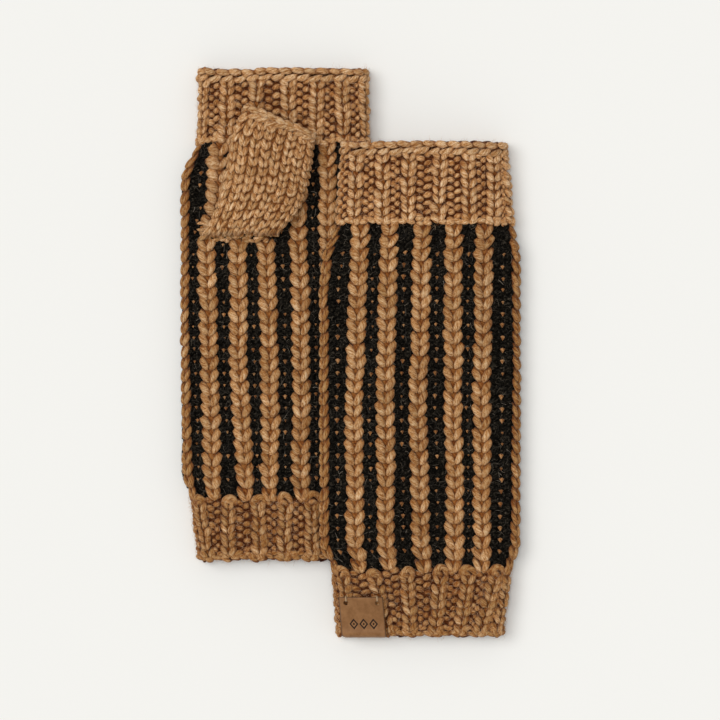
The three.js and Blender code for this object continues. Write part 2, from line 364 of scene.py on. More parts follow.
# ---- Yarn: swept lengths with rounded ends ----


TINT = 0.55
TINT_SPREAD = 0.17
TWIST = 1.3 / 3.0


class Yarn:
    """Collects swept lengths of yarn on one tube, and makes them one mesh."""

    def __init__(self, tube, tint=TINT):
        self.tube = tube
        self.tint = tint
        self.points = []
        self.strands = []
        self.tints = []
        self.shade_heights = []
        self.faces = []
        self.count = 0

    def add(self, s, v, h, wide, high, sides=8, tint=None, depth=None):
        """s, v and h are the centre line, wide and high the half sizes across it, as arrays that broadcast to lengths
        by rings. depth, if given, is the height that the tan material's painted shade reads, in place of the yarn's
        own."""
        s, v, h, wide, high = np.broadcast_arrays(s, v, h, wide, high)
        lengths, rings = s.shape
        ds = np.gradient(s, axis=1)
        dv = np.gradient(v, axis=1)
        size = np.sqrt(ds**2 + dv**2) + 1e-9
        turn = np.arange(sides) / sides * 2 * math.pi
        cos, sin = np.cos(turn), np.sin(turn)
        ps = s[..., None] + (-dv / size)[..., None] * wide[..., None] * cos
        pv = v[..., None] + (ds / size)[..., None] * wide[..., None] * cos
        ph = h[..., None] + high[..., None] * sin
        self.points.append(self.tube.place(ps, pv, ph).reshape(-1, 3))
        self.shade_heights.append(ph.reshape(-1) if depth is None else np.full(ph.size, depth))
        along = np.cumsum(size, axis=1)
        offset = rng.uniform(0, 500, (lengths, 1, 1))
        angle = turn + along[..., None] * TWIST
        radius = (wide[..., None] + high[..., None]) / 2
        length = along[..., None] + offset + 0 * angle
        strand = np.stack([length, radius * np.cos(angle) + offset, radius * np.sin(angle)], -1)
        self.strands.append(strand.reshape(-1, 3))
        if tint is None:
            tint = rng.normal(self.tint, TINT_SPREAD, lengths)
        self.tints.append(np.repeat(np.clip(tint, 0, 1), rings * sides))
        ring = np.arange(rings - 1)[:, None] * sides
        side = np.arange(sides)[None, :]
        after = (side + 1) % sides
        quad = np.stack([ring + side, ring + after, ring + sides + after, ring + sides + side], -1).reshape(-1, 4)
        start = self.count + np.arange(lengths)[:, None, None] * rings * sides
        self.faces.append((quad[None] + start).reshape(-1, 4))
        self.count += lengths * rings * sides

    def sheet(self, s, v, h, tint=0.5, inward=False, keep=None):
        """A grid of rows by columns of points, closed round the tube, as the ground behind the stitches."""
        rows, columns = s.shape
        self.points.append(self.tube.place(s, v, h).reshape(-1, 3))
        self.shade_heights.append(h.reshape(-1))
        strand = np.stack([s + 40, v, h], -1)
        self.strands.append(strand.reshape(-1, 3))
        self.tints.append(np.full(rows * columns, tint))
        row = np.arange(rows - 1)[:, None] * columns
        column = np.arange(columns)[None, :]
        after = (column + 1) % columns
        quad = np.stack([row + column, row + after, row + columns + after, row + columns + column], -1)
        if keep is not None:
            quad = quad[keep[:-1, :]]
        quad = quad.reshape(-1, 4)
        self.faces.append((quad[:, ::-1] if inward else quad) + self.count)
        self.count += rows * columns


def add_attribute(mesh, name, values):
    """A number or a vector at each point of the mesh, for its material to read."""
    kind, field = ("FLOAT_VECTOR", "vector") if values.ndim == 2 else ("FLOAT", "value")
    attribute = mesh.attributes.new(name, kind, "POINT")
    attribute.data.foreach_set(field, values.astype(np.float32).ravel())


def mesh_piece(name, points, faces, material, attributes=()):
    mesh = bpy.data.meshes.new(name)
    mesh.vertices.add(len(points))
    mesh.vertices.foreach_set("co", (points * MM).astype(np.float32).ravel())
    mesh.loops.add(faces.size)
    mesh.loops.foreach_set("vertex_index", faces.astype(np.int32).ravel())
    mesh.polygons.add(len(faces))
    mesh.polygons.foreach_set("loop_start", np.arange(0, faces.size, faces.shape[1], dtype=np.int32))
    mesh.polygons.foreach_set("use_smooth", np.ones(len(faces), bool))
    mesh.update(calc_edges=True)
    for attribute, values in attributes:
        add_attribute(mesh, attribute, values)
    mesh.materials.append(material)
    return new_object(name, mesh)


def finish_yarn(name, yarn, material, body, nodes=()):
    """Makes the yarn's mesh. It rides on body, if there is one, and shows in place of the CAD nodes."""
    # depth is each point's height, which the tan material reads to paint shade low down between the yarns.
    lists = (("strand", yarn.strands), ("tint", yarn.tints), ("depth", yarn.shade_heights))
    attributes = [(attribute, np.concatenate(values)) for attribute, values in lists]
    piece = mesh_piece(name, np.concatenate(yarn.points), np.concatenate(yarn.faces), material, attributes)
    if body:
        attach(piece, body)
    if nodes:
        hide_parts(*nodes)
    return piece


def bell(t, start=0.1, end=0.12, power=0.5):
    """Full in the middle and rounded off at both ends."""
    up = np.clip(t / (0.5 - start + 0.1), 0, 1)
    down = np.clip((1 - t) / (0.5 - end + 0.1), 0, 1)
    return np.maximum((1 - (1 - up) ** 2) * (1 - (1 - down) ** 2), 0) ** power


def stitch_legs(yarn, columns, k, v, leg, jitter=1.0, scale=None, fold_shade=None):
    """The two legs of V stitches in the columns k, at the heights v. The V points to the wrist. The stitches that the
    last argument marks get a darker tint, as painted shade on the tube's folds."""
    t = np.linspace(0, 1, leg["rings"])[None, :]
    size = np.ones(len(v)) if scale is None else scale
    n = len(v)
    for side in (-1, 1):
        grow = size * rng.normal(1, 0.05 * jitter, n)
        shift = rng.normal(0, 0.16 * jitter, n)
        slip = rng.normal(0, 0.22 * jitter, n)
        top = (leg["top"] * grow)[:, None]
        tip = (leg["tip"] * size)[:, None]
        ds = side * (top + (tip - top) * t ** leg["bend"]) + shift[:, None]
        vv = (v + slip)[:, None] + leg["rise"] - (leg["rise"] + leg["drop"]) * t
        profile = bell(t, 0.12, 0.28, 0.55) * (1.1 - 0.28 * t)
        wide = (leg["wide"] * grow)[:, None] * profile
        high = (leg["high"] * grow)[:, None] * profile
        lift = rng.normal(0, 0.12 * jitter, n)[:, None]
        rise = 1 - fall(t, -0.1, 0.8)
        h = leg["base"] + lift + (leg["crest"] - leg["base"]) * rise - 0.3 * (1 - fall(t, 0.86, 1.0))
        s = columns.at(k[:, None], vv) + ds
        tint = rng.normal(yarn.tint, TINT_SPREAD, n) - (0 if fold_shade is None else 0.45 * fold_shade)
        yarn.add(s, vv, h, wide, high, tint=tint)


def stitch_cores(yarn, columns, k, v, scale, reach, wide, tint):
    """The yarn that lies behind the V stitches and closes the gaps between their legs. It lies deep and the callers
    give it a lower tint than the stitches, so it shows as painted shade in the gaps.
    """
    t = np.linspace(0, 1, 7)[None, :]
    profile = bell(t, 0.15, 0.15) * scale[:, None]
    vv = v[:, None] + 0.3 + reach * (0.5 - t)
    s = columns.at(k[:, None], vv)
    tints = rng.uniform(tint - 0.15, tint + 0.15, len(v))
    yarn.add(s, vv, -2.9, wide * profile, 0.95 * profile, sides=6, tint=tints)


def half_gap(tube, columns, gap, v, clear, least, most):
    """Half the width of the gap between two columns, less what the columns cover."""
    width = (columns.at(gap + 0.5, v) - columns.at(gap - 0.5, v)) % tube.around(v)
    return np.clip(width / 2 - clear, least, most)


def row_heights(low, high, pitch, count, jitter=0.25):
    """The heights of the stitches in each of count columns, as (k, v) arrays."""
    ks, vs = [], []
    for column in range(count):
        rows = int(round((high - low) / pitch))
        step = (high - low) / rows
        v = low + step * (np.arange(rows) + 0.5) + rng.uniform(-0.5, 0.5) * jitter * step
        v = v + rng.normal(0, 0.04 * step, rows)
        ks.append(np.full(rows, float(column)))
        vs.append(v)
    return np.concatenate(ks), np.concatenate(vs)


# ---- Materials ----


class Nodes:
    """A short way to write node trees."""

    def __init__(self, name):
        self.material = bpy.data.materials.new(name)
        self.material.use_nodes = True
        self.tree = self.material.node_tree
        self.shader = self.tree.nodes["Principled BSDF"]

    def put(self, value, socket):
        """Links the value to the socket, or sets the socket to it."""
        if isinstance(value, bpy.types.NodeSocket):
            self.tree.links.new(value, socket)
        else:
            socket.default_value = value

    def add(self, kind, links=(), **values):
        node = self.tree.nodes.new(kind)
        for key, value in values.items():
            setattr(node, key, value)
        for socket, value in links:
            self.put(value, node.inputs[socket])
        return node

    def attribute(self, name, output):
        return self.add("ShaderNodeAttribute", attribute_name=name).outputs[output]

    def math(self, operation, a, b=0.0, c=0.0):
        return self.add("ShaderNodeMath", [(0, a), (1, b), (2, c)], operation=operation).outputs[0]

    def scaled(self, vector, scale):
        return self.add("ShaderNodeVectorMath", [(0, vector), (1, scale)], operation="MULTIPLY").outputs[0]

    def noise(self, vector, scale=1.0, detail=3.0, roughness=0.6):
        links = [("Vector", vector), ("Scale", scale), ("Detail", detail), ("Roughness", roughness)]
        return self.add("ShaderNodeTexNoise", links).outputs["Fac"]

    def ramp(self, value, stops):
        node = self.add("ShaderNodeValToRGB", [("Fac", value)])
        ramp = node.color_ramp
        while len(ramp.elements) < len(stops):
            ramp.elements.new(0.5)
        for element, (position, colour) in zip(ramp.elements, stops):
            element.position = position
            element.color = (*colour, 1)
        return node.outputs["Color"]

    def mix(self, share, a, b, blend="MIX"):
        node = self.add("ShaderNodeMix", data_type="RGBA", blend_type=blend)
        for socket, value in ((0, share), (6, a), (7, b)):
            self.put((*value, 1) if isinstance(value, tuple) else value, node.inputs[socket])
        return node.outputs[2]

    def set(self, **values):
        """Sets the shader's inputs, named with _ for each space."""
        for key, value in values.items():
            self.put(value, self.shader.inputs[key.replace("_", " ")])

    def bump(self, height, strength, distance):
        links = [("Height", height), ("Strength", strength), ("Distance", distance)]
        self.set(Normal=self.add("ShaderNodeBump", links).outputs["Normal"])


def tan_yarn():
    """Heathered wool: streaks of light and dark fibre along each strand, with painted shade that makes the yarn
    darker and richer the lower it lies, down between the stitches and on the sides of each strand.
    """
    nodes = Nodes("tan_yarn")
    strand = nodes.attribute("strand", "Vector")
    fibres = nodes.noise(nodes.scaled(strand, (0.20, 1.15, 1.15)), 1.0, 2.0, 0.6)
    fine = nodes.noise(nodes.scaled(strand, (0.6, 3.4, 3.4)), 1.0, 2.0, 0.65)
    mixed = nodes.math("MULTIPLY_ADD", fine, 0.55, nodes.math("MULTIPLY", fibres, 0.45))
    stops = [(0.38, (0.29, 0.105, 0.02)), (0.48, (0.70, 0.36, 0.138)), (0.57, (0.97, 0.72, 0.47))]
    colour = nodes.ramp(mixed, stops)
    # The tint ramp darkens yarn of low tint: random tone in the stitches, and painted shade in the cores, ground
    # sheets and fold columns, whose tint is kept low.
    tint = nodes.ramp(nodes.attribute("tint", "Fac"), [(0.0, (0.56, 0.455, 0.295)), (1.0, (1.04, 1.02, 0.98))])
    colour = nodes.mix(1.0, colour, tint, "MULTIPLY")
    # Painted shade: the lower a point of the yarn lies, the darker and richer its colour.
    depth = nodes.attribute("depth", "Fac")
    links = [("Value", depth), ("From Min", -3.2), ("From Max", 0.2), ("To Min", 0.0), ("To Max", 1.0)]
    level = nodes.add("ShaderNodeMapRange", links).outputs["Result"]
    painted_shade_stops = [(0.0, (0.17, 0.065, 0.014)), (0.3, (0.53, 0.32, 0.14)), (0.65, (0.88, 0.77, 0.61)), (1.0, (1, 1, 1))]
    nodes.set(Base_Color=nodes.mix(1.0, colour, nodes.ramp(level, painted_shade_stops), "MULTIPLY"))
    nodes.set(Roughness=0.75, Sheen_Weight=0.1, Sheen_Roughness=0.4, Specular_IOR_Level=0.15)
    nodes.bump(mixed, 1.0, 0.0012)
    return nodes.material


def black_yarn():
    """Brushed black wool with stray fibres of grey and brown."""
    nodes = Nodes("black_yarn")
    strand = nodes.attribute("strand", "Vector")
    place = nodes.add("ShaderNodeNewGeometry").outputs["Position"]
    fibres = nodes.noise(nodes.scaled(strand, (0.3, 1.6, 1.6)), 1.0, 3.0, 0.65)
    lint = nodes.noise(place, 900.0, 4.0, 0.75)
    mixed = nodes.math("MULTIPLY_ADD", lint, 0.6, nodes.math("MULTIPLY", fibres, 0.4))
    stops = [
        (0.42, (0.0015, 0.0012, 0.001)),
        (0.52, (0.009, 0.0075, 0.0055)),
        (0.60, (0.05, 0.04, 0.028)),
        (0.68, (0.20, 0.165, 0.12)),
    ]
    nodes.set(Base_Color=nodes.ramp(mixed, stops))
    nodes.set(Roughness=0.9, Specular_IOR_Level=0.03)
    nodes.bump(mixed, 1.0, 0.0014)
    return nodes.material


def fuzz(name, stops):
    """Plain hairs, each in one colour of the ramp."""
    nodes = Nodes(name)
    nodes.set(Base_Color=nodes.ramp(nodes.attribute("tint", "Fac"), stops), Roughness=0.7, Specular_IOR_Level=0.2)
    return nodes.material


TAN = tan_yarn()
BLACK = black_yarn()
BLACK_FUZZ = fuzz(
    "black_fuzz",
    [
        (0.0, (0.006, 0.005, 0.004)),
        (0.35, (0.03, 0.025, 0.02)),
        (0.75, (0.16, 0.13, 0.095)),
        (1.0, (0.45, 0.38, 0.30)),
    ],
)
TAN_FUZZ = fuzz("tan_fuzz", [(0.0, (0.30, 0.15, 0.06)), (0.6, (0.6, 0.36, 0.19)), (1.0, (0.85, 0.62, 0.42))])

# ---- The stitches' sizes, in millimetres ----

# One leg of a V: how far its ends lie from the column's middle, how far it rises and drops from the stitch's height,
# its half sizes, and how deep its two ends lie.
HAND_LEG = dict(top=3.9, tip=0.3, bend=1.6, rise=3.0, drop=5.2, wide=2.05, high=1.6, base=-3.4, crest=-1.2, rings=13)
CUFF_LEG = dict(top=3.5, tip=0.5, bend=1.4, rise=2.3, drop=3.4, wide=1.7, high=1.5, base=-3.3, crest=-1.0, rings=9)
THUMB_LEG = dict(top=2.0, tip=0.3, bend=1.3, rise=2.2, drop=3.1, wide=1.38, high=1.1, base=-2.3, crest=-0.65, rings=9)
HAND_PITCH = 5.85
FINGER_PITCH = 4.15
WRIST_PITCH = 4.0
THUMB_PITCH = 4.2
GROUND = -3.0
LINING = -4.2
THUMB_GROUND = -1.9
THUMB_LINING = -2.4


def ground_sheet(yarn, tube, low, high, top=GROUND, lining=LINING, around=96, hole=None, tint=0.5):
    """The fabric behind the stitches and its lining, joined at both ends. In tan yarn it lies deep enough for the
    painted shade to make it dark, and the low tint that the cuffs, edges and thumbs give it paints it darker still,
    as shade between the stitches.
    """
    rows = max(3, int((high - low) / 3.0))
    v = np.linspace(low, high, rows)
    share = np.arange(around) / around
    vv = np.repeat(v[:, None], around, 1)
    s = tube.around(vv) * share[None, :]
    keep = None
    if hole is not None:
        keep = ~hole(tube.place(s, vv, 0 * s))
    yarn.sheet(s, vv, np.full(s.shape, top), tint, keep=keep, inward=True)
    yarn.sheet(s, vv, np.full(s.shape, lining), tint, keep=keep)
    for end, inward in ((0, False), (-1, True)):
        rim = np.stack([s[end], s[end]])
        rim_v = np.stack([vv[end], vv[end]])
        rim_h = np.stack([np.full(around, lining), np.full(around, top)])
        yarn.sheet(rim, rim_v, rim_h, tint, inward=inward)


HOLE_ABOVE_BASE = 6.5
HOLE_HALF_LENGTH = 11.5
HOLE_RADIUS = 3.5


def thumb_hole(side):
    """Says which points of the palm lie in the hole under the thumb sleeve."""
    thumb = THUMBS[side]
    (left, y), (right, _) = thumb["base"]

    def inside(points):
        px, py, pz = points[..., 0], points[..., 1], points[..., 2]
        reach = np.maximum(np.abs(px - (left + right) / 2) - HOLE_HALF_LENGTH, 0)
        near = reach**2 + (py - y - HOLE_ABOVE_BASE) ** 2 < HOLE_RADIUS**2
        return near & (pz > RADIUS if thumb["palm_up"] else pz < draped(px, py) + RADIUS)

    return inside


def gather(yarn):
    """The bumps where the left thumb sleeve was picked up, along its base on the palm, and two loose loops there."""
    left, right = THUMBS["left"]["base"]
    n = 34
    t = np.linspace(0, 1, 7)[None, :]
    x = np.sort(rng.uniform(left[0] + 0.5, right[0] - 13, n))[:, None] + rng.normal(0, 0.5, (n, 1))
    slope = rng.normal(0, 1.3, (n, 1))
    v = left[1] + rng.uniform(-1.6, 2.0, (n, 1)) + slope * (0.5 - t)
    s = yarn.tube.s_at(x + rng.uniform(2.6, 4.6, (n, 1)) * (t - 0.5), v)
    profile = bell(t, 0.12, 0.12)
    h = rng.uniform(-1.6, -0.2, (n, 1)) + 0.5 * np.sin(math.pi * t)
    tint = rng.uniform(0.0, 0.6, n)
    yarn.add(s, v, h, rng.uniform(0.9, 1.4, (n, 1)) * profile, 1.1 * profile, tint=tint)
    loose = np.array([[1.0], [-0.7]])
    x = left[0] + 3.5 - 6.2 * t
    v = left[1] + 5.2 + 0.6 * loose + 1.4 * loose * np.sin(2.4 * t)
    thick = 0.85 * bell(t, 0.1, 0.2)
    yarn.add(yarn.tube.s_at(x, v), v, 0.2, thick, 0.9 * thick, tint=np.array([0.7, 0.3]))


def make_hand(side):
    """Raised tan columns on a sunken black ground with small tan dots and loose fibres."""
    tube = TUBES[side]
    g = GLOVES[side]
    low, high = g["wrist"], g["root"]
    columns = Columns(tube, TAN_COLUMNS[side], 0.32)
    hole = thumb_hole(side)

    def clear_of_hole(k, v):
        keep = ~hole(tube.place(columns.at(k, v), v, 0 * v))
        return k[keep], v[keep]

    tan = Yarn(tube, 0.42)
    k, v = row_heights(low + 0.5, high + 1.5, HAND_PITCH, COLUMNS)
    k, v = clear_of_hole(k, v)
    scale = 1 - 0.28 * fall(v - low, 0, 9) - 0.17 * fall(high - v, -3, 14)
    if side == "left":
        beside_sleeve = (k == 1) & (v > THUMBS["left"]["base"][0][1])
        scale = scale * np.where(beside_sleeve, 1.32, 1.0)
    # The columns on the tube's folds are a little smaller, and their tint is painted darker as shade.
    on_fold = (k == 0) | (k == 6)
    stitch_legs(tan, columns, k, v, HAND_LEG, scale=scale * np.where(on_fold, 0.86, 1.0), fold_shade=on_fold)
    stitch_cores(tan, columns, k, v, scale, reach=8.2, wide=2.5, tint=0.35)
    if side == "left":
        gather(tan)
    finish_yarn(f"{side}_hand_tan_columns", tan, TAN, g["body"])

    black = Yarn(tube)
    ground_sheet(black, tube, low - 1, high + 1, hole=hole)
    k, v = row_heights(low, high, HAND_PITCH, COLUMNS)
    gap, v = clear_of_hole(k + 0.5, v)
    half = half_gap(tube, columns, gap, v, 3.6, 2.0, 8.0)
    add_black_stitches(black, columns, gap, v, half)
    finish_yarn(f"{side}_hand_black_ground", black, BLACK, g["body"], [f"{side}_hand"])

    dots = Yarn(tube)
    keep = (rng.random(len(v)) < 0.93) & (v < high - 12) & (v > low + 4)
    add_dots(dots, columns, gap[keep], v[keep], half[keep])
    finish_yarn(f"{side}_hand_tan_dots", dots, TAN, g["body"])
    add_black_fuzz(side, tube, columns, low, high)


def add_black_stitches(yarn, columns, gap, v, half):
    """Four curved lengths to each stitch, which run from the columns to the middle of the gap."""
    t = np.linspace(0, 1, 8)[None, :]
    n = len(v)
    profile = bell(t, 0.1, 0.1)
    for part in (-1, 1):
        for rise in (1.0, -1.0):
            reach = half[:, None] * (1.05 + rng.normal(0, 0.08, (n, 1)))
            ds = part * reach * (1 - 0.92 * t)
            vv = v[:, None] + rise * (1.45 + 0.9 * np.sin(math.pi * t)) * 0.8 + rng.normal(0, 0.25, (n, 1))
            vv = vv + part * rise * 0.25 * t
            wide = (1.55 + rng.normal(0, 0.12, (n, 1))) * profile
            h = -3.1 + 0.8 * np.sin(math.pi * t) + rng.normal(0, 0.22, (n, 1))
            yarn.add(columns.at(gap[:, None], vv) + ds, vv, h, wide, profile, sides=6)


# The height that the dots' painted shade reads: above where they lie, so that they get less painted shade and come
# out lighter.
DOT_SHADE_HEIGHT = -1.6


def add_dots(yarn, columns, gap, v, half):
    """The small wedges of tan yarn that show between the black stitches."""
    t = np.linspace(0, 1, 6)[None, :]
    n = len(v)
    size = rng.uniform(0.6, 1.2, (n, 1)) * np.clip(half[:, None] / 4.5, 0.7, 1.05)
    vv = v[:, None] + size * (0.9 - 2.1 * t)
    ds = rng.normal(0, 0.25, (n, 1))
    wide = size * (1.4 - 1.25 * t) * np.sqrt(np.clip(t / 0.12, 0.02, 1))
    h = -2.5 + rng.normal(0, 0.15, (n, 1)) + 0.2 * np.sin(math.pi * t)
    tint = rng.uniform(0.0, 0.9, n)
    s = columns.at(gap[:, None], vv) + ds
    yarn.add(s, vv, h, wide, 0.8 * wide + 0.1, sides=6, tint=tint, depth=DOT_SHADE_HEIGHT)


def strands_of_fuzz(yarn, s, v, h, length, thick, tint, lift):
    """Fine curved hairs that start at s, v, h."""
    n = len(s)
    t = np.linspace(0, 1, 4)[None, :]
    angle = rng.uniform(0, 2 * math.pi, (n, 1)) + rng.normal(0, 1.1, (n, 1)) * t
    step = length[:, None] / 3
    ss = s[:, None] + np.cumsum(np.cos(angle) * step, 1)
    vv = v[:, None] + np.cumsum(np.sin(angle) * step, 1)
    hh = h[:, None] + lift[:, None] * np.sin(math.pi * (0.1 + 0.8 * t)) * rng.uniform(0.3, 1, (n, 1))
    wide = thick[:, None] * (1 - 0.5 * t)
    yarn.add(ss, vv, hh, wide, wide, sides=3, tint=tint)


BLACK_HAIRS = 9500


def add_black_fuzz(side, tube, columns, low, high):
    """Loose fibres on the black ground."""
    hairs = Yarn(tube)
    n = BLACK_HAIRS
    gap = rng.integers(0, COLUMNS, n) + 0.5
    v = rng.uniform(low + 1, high - 1, n)
    half = half_gap(tube, columns, gap, v, 3.2, 1.5, 8)
    s = columns.at(gap, v) + rng.uniform(-1, 1, n) * half
    h = rng.uniform(-2.4, -1.3, n)
    tint = rng.beta(1.2, 2.6, n)
    length, thick, lift = rng.uniform(1.4, 4.2, n), rng.uniform(0.06, 0.13, n), rng.uniform(0, 1.2, n)
    strands_of_fuzz(hairs, s, v, h, length, thick, tint, lift)
    finish_yarn(f"{side}_hand_black_fuzz", hairs, BLACK_FUZZ, GLOVES[side]["body"])


def make_cuff(side, part):
    """A 1x1 rib cuff, knit columns raised and purl channels sunk between them."""
    tube = TUBES[side]
    g = GLOVES[side]
    finger = part == "finger"
    low, high = (g["root"], g["edge"] - 5.0) if finger else (g["hem"] + 3.0, g["wrist"])
    columns = Columns(tube, CUFF_COLUMNS[side, part], 0.4 if finger else 0.75)
    yarn = Yarn(tube, {"left": 0.6, "right": 0.85}[side] if finger else 0.2)
    ground_sheet(yarn, tube, low - (0.5 if finger else 1.0), high + (1.5 if finger else 0.5), tint=0.15)
    pitch = FINGER_PITCH if finger else WRIST_PITCH
    k, v = row_heights(low + (1.4 if finger else 0), high - (0 if finger else 2.5), pitch, COLUMNS, jitter=0.5)
    scale = rng.normal(1.0 if finger else 0.97, 0.05, len(v))
    stitch_legs(yarn, columns, k, v, CUFF_LEG, jitter=1.5, scale=scale)
    stitch_cores(yarn, columns, k, v, scale, reach=6.2, wide=1.9, tint=0.2 if finger else 0.0)

    k, v = row_heights(low, high, pitch, COLUMNS, jitter=0.8)
    gap = k + 0.5
    half = half_gap(tube, columns, gap, v, 3.7, 1.4, 6.0)
    t = np.linspace(0, 1, 7)[None, :]
    n = len(v)
    profile = bell(t, 0.1, 0.1)
    for bump_side in (-1, 1):
        reach = half[:, None] * rng.uniform(0.85, 1.15, (n, 1))
        ds = bump_side * reach * (1.05 - 1.15 * t)
        slope = rng.normal(1.5, 0.5, (n, 1))
        vv = v[:, None] + bump_side * 0.25 * pitch + slope * (0.5 - t) + 0.5 * np.sin(math.pi * t)
        wide = rng.normal(1.5, 0.16, (n, 1)) * profile
        h = -2.8 + 0.9 * np.sin(math.pi * t) + rng.normal(0, 0.25, (n, 1))
        yarn.add(columns.at(gap[:, None], vv) + ds, vv, h, wide, 1.15 * profile, sides=7)
    if finger:
        around = float(tube.around(low))
        links = int(around / 3.9)
        step = around / links
        s = (np.arange(links) * step + rng.normal(0, 0.3, links))[:, None] + (t - 0.5) * step * 1.3
        vv = low + 1.3 + rng.normal(0, 0.5, (links, 1)) + rng.normal(0.6, 1.2, (links, 1)) * (0.5 - t)
        profile = bell(t, 0.12, 0.12)
        yarn.add(s, vv, -1.75 + 0.4 * np.sin(math.pi * t), 1.5 * profile, 1.2 * profile, sides=7)
    else:
        add_arches(yarn, columns, g)
    name = f"{side}_{part}_cuff"
    finish_yarn(f"{name}_knit", yarn, TAN, g["body"], [name])


def add_arches(yarn, columns, g):
    """The wide loops where the cuff's knit columns start under the black ones."""
    k = np.arange(COLUMNS, dtype=float)
    t = np.linspace(0, 1, 15)[None, :]
    angle = math.pi * t
    profile = bell(t, 0.3, 0.3, 0.4)
    for reach, crown, foot, wide in ((3.7, 6.0, -4.8, 1.75), (1.5, 2.6, -4.6, 1.3)):
        lean = rng.normal(0, 1.1, (COLUMNS, 1))
        size = rng.uniform(0.75, 1.15, (COLUMNS, 1))
        ds = -reach * size * np.cos(angle) * (1 - 0.12 * np.sin(angle)) + lean * np.sin(angle)
        rise = crown * rng.uniform(0.7, 1.05, (COLUMNS, 1)) * np.sin(angle) ** 0.8
        vv = g["wrist"] + foot + rise + rng.normal(0, 0.3, (COLUMNS, 1))
        h = -2.9 + 1.35 * np.sin(angle) ** 0.6
        s = columns.at(k[:, None], vv) + ds
        yarn.add(s, vv, h, wide * profile, 1.3 * profile)


def from_columns(s, ribs, around):
    """How far s is from the nearest knit column, round the tube."""
    gap = np.abs(np.mod(s[..., None] - ribs + around / 2, around) - around / 2)
    return gap.min(-1)


TAB_MIDDLE = 6.3


def pinched(side, s, around):
    """How far the leather tab presses the right glove's hem back, at s round it."""
    if side == "left":
        return 0 * s
    start = GLOVES["right"]["spans"]["hem"][0] + RADIUS
    x = np.where(s > around / 2, s - around, s) + start
    back = around - s - math.pi * RADIUS + start
    return 2.0 * np.maximum(fall(np.abs(x - TAB_MIDDLE), 9.5, 13.5), fall(np.abs(back - TAB_MIDDLE), 9.5, 13.5))


# The rows of chain links, from the rim inward on the upper side and then behind: how far back, slant, half width,
# depth, half height, and shift as a share of a link.
FINGER_ROWS = (
    (1.6, 0.85, 1.65, -1.6, 1.5, 0.0),
    (4.3, -1.0, 1.65, -1.35, 1.4, 0.45),
    (1.5, 0.8, 1.4, -3.2, 1.2, 0.3),
    (3.9, -0.9, 1.3, -3.4, 1.1, 0.6),
)
WRIST_ROWS = (
    (1.5, 0.5, 1.35, -1.9, 1.35, 0.0),
    (3.6, -0.5, 1.3, -2.2, 1.2, 0.5),
    (1.4, 0.5, 1.3, -3.3, 1.1, 0.2),
)
THUMB_ROWS = (
    (1.4, 1.2, 1.6, -0.6, 1.35, 0.0),
    (3.8, -1.1, 1.5, -0.9, 1.2, 0.4),
    (1.5, 0.8, 1.3, -2.0, 0.9, 0.7),
)


def make_edge(side, part):
    """The bound-off or cast-on edge: rows of slanted chain links round the rim."""
    tube = TUBES[side]
    g = GLOVES[side]
    finger = part == "finger"
    edge = g["edge"] if finger else g["hem"]
    inward = -1 if finger else 1
    around = float(tube.around(edge))
    links = int(around / (6.2 if finger else 4.3))
    columns = Columns(tube, CUFF_COLUMNS[side, part], 0.4)
    yarn = Yarn(tube, 0.65 if finger else 0.1)
    t = np.linspace(0, 1, 9)[None, :]
    step = around / links
    ribs = columns.at(np.arange(COLUMNS, dtype=float), np.full(COLUMNS, edge))
    profile = bell(t, 0.12, 0.12, 0.55)
    for back, slant, wide, level, high, phase in FINGER_ROWS if finger else WRIST_ROWS:
        s0 = (np.arange(links) + phase) * step + rng.normal(0, 0.18, links)
        ds = (t - 0.5) * step * rng.normal(1.1, 0.1, (links, 1))
        vv = edge + inward * (back + rng.normal(0, 0.22, (links, 1))) + slant * (0.5 - t) * 2.0
        if finger:
            vv = vv - 0.4 * (1 + np.sin(s0 / 11.0 + 1.3))[:, None] - (0.9 * np.sin(math.pi * t) if back > 3 else 0)
        s = s0[:, None] + ds
        if not finger:
            vv = vv + 0.4 - 1.2 * np.exp(-((from_columns(s, ribs, around) / 3.2) ** 2)) + pinched(side, s, around)
        h = level + 0.45 * np.sin(math.pi * t) + rng.normal(0, 0.1, (links, 1))
        grow = rng.normal(1, 0.06, (links, 1))
        yarn.add(s, vv, h, wide * profile * grow, high * profile * grow, sides=9)
    if finger:
        ground_sheet(yarn, tube, edge - 4.5, edge - 1.2, tint=0.2)
    else:
        ground_sheet(yarn, tube, edge + 2.6, edge + 4.0, tint=0.2)
        k = np.arange(COLUMNS, dtype=float)
        for shift in (-1, 1):
            v = edge + 2.2 + pinched(side, columns.at(k, np.full(COLUMNS, edge)), around)
            vv = v[:, None] + 2.2 - 4.2 * t
            ds = shift * (2.5 - 0.7 * t) + rng.normal(0, 0.15, (COLUMNS, 1))
            h = -2.6 + 1.3 * np.sin(math.pi * (0.1 + 0.75 * t))
            s = columns.at(k[:, None], vv) + ds
            end_profile = bell(t, 0.1, 0.1)
            yarn.add(s, vv, h, 1.95 * end_profile, 1.3 * end_profile)
    name = f"{side}_{part}_{'bind_off' if finger else 'cast_on'}_edge"
    finish_yarn(f"{name}_knit", yarn, TAN, g["body"], [name])


def add_halo(name, tube, low, high, count, body):
    """Short stray fibres that stand off the tan yarn."""
    hairs = Yarn(tube)
    v = rng.uniform(low, high, count)
    s = rng.uniform(0, 1, count) * tube.around(v)
    tint = rng.uniform(0.3, 1.0, count)
    thick = rng.uniform(0.03, 0.06, count)
    h = rng.uniform(-1.5, -0.6, count)
    strands_of_fuzz(hairs, s, v, h, rng.uniform(1.0, 3.2, count), thick, tint, rng.uniform(0.2, 1.4, count))
    finish_yarn(name, hairs, TAN_FUZZ, body)


PHASES = 200


